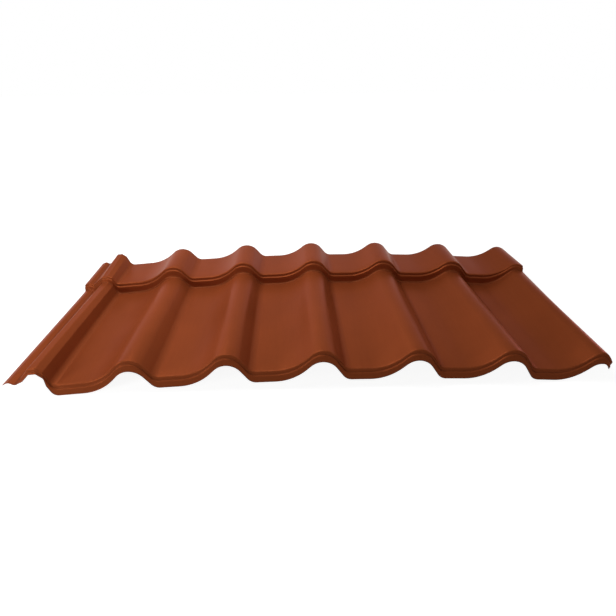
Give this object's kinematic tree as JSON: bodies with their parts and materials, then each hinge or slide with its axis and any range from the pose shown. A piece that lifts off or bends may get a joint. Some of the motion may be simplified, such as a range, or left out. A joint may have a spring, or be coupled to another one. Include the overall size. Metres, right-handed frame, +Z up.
{
  "type": "metal roofing sheet",
  "caption": "Pressed metal roofing sheet with asymmetric pantile waves, a step between its full course and its short upper course, a turned-down front edge and a side water channel.",
  "frame": {"origin": "centre of the sheet's outline, on the floor it lies on", "axes": "+X across the waves, +Y up the roof towards the short upper course, +Z up from the outer face"},
  "size_m": [1.1864, 0.549, 0.0859],
  "materials": {
    "painted_steel": "satin copper-brown polyester coating on thin steel"
  },
  "bodies": {
    "root": {"roofing_sheet": "painted_steel"}
  },
  "joints": []
}
